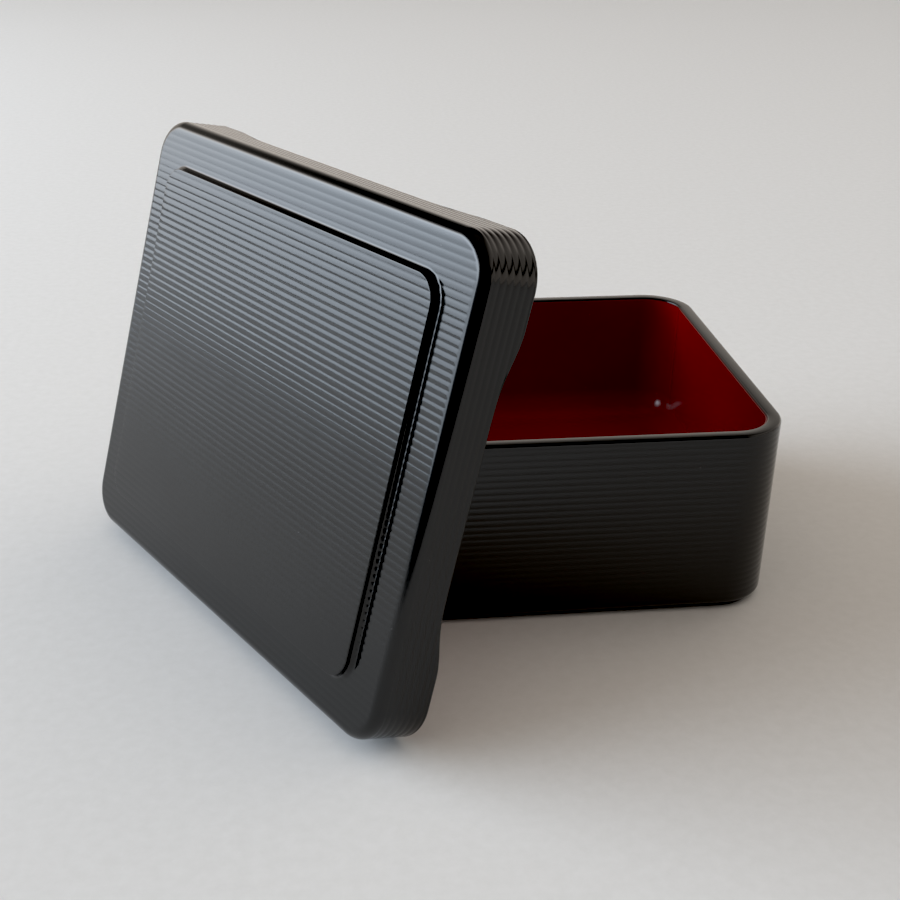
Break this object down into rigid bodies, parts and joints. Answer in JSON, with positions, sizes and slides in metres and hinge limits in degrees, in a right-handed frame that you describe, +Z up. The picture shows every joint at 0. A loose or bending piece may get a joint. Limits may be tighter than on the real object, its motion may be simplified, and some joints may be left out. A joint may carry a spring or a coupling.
{
  "type": "bento lunch box",
  "caption": "Rectangular single-tier bento box with finely ribbed black walls, red lacquered inside and a deep lift-off lid with scooped edges, shown leaning on the box.",
  "frame": {"origin": "middle of the footprint of box and leaning lid together, on the table", "axes": "+X along the box's long side, +Y along its short side, away from the front, +Z up"},
  "size_m": [0.2142, 0.1942, 0.1357],
  "materials": {
    "black_plastic": "gloss black lacquer-look plastic, finely ribbed",
    "red_lacquer": "gloss deep red lacquer coat"
  },
  "bodies": {
    "box": {"box_body": "black_plastic", "box_inner_lacquer": "red_lacquer"},
    "lid": {"lid_shell": "black_plastic", "lid_inner_lacquer": "red_lacquer"}
  },
  "joints": [
    {"name": "lid_lift", "type": "slide", "parent": "box", "child": "lid", "axis": [0, 0, 1], "range_m": [0, 0.08]}
  ]
}
